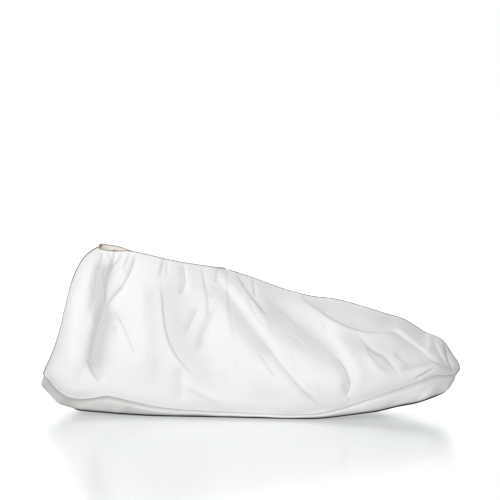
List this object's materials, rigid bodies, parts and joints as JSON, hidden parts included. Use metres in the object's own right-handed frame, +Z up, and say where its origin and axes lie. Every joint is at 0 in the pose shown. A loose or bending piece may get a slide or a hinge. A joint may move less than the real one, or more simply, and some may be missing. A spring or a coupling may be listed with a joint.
{
  "type": "shoe cover",
  "caption": "Low cleanroom overshoe: two soft side panels, a turned-up coated sole with a grip sheet under it, and a gathered elastic mouth.",
  "frame": {"origin": "on the floor, at the centre of the cover's length and width", "axes": "+X towards the toe, +Z up, near side panel on -Y"},
  "size_m": [0.3294, 0.1044, 0.1318],
  "materials": {
    "panel_cloth": "smooth white flash-spun sheet with a faint fibre swirl and a slight sheen",
    "sole_coating": "satin grey-white film coating",
    "grip_sheet": "dark matt slip-resistant sheet",
    "elastic_tape": "ecru knitted elastic tape"
  },
  "bodies": {
    "root": {"side_panel_near": "panel_cloth", "side_panel_far": "panel_cloth", "sole_sheet": "sole_coating", "grip_sheet": "grip_sheet", "elastic_binding": "elastic_tape"}
  },
  "joints": []
}
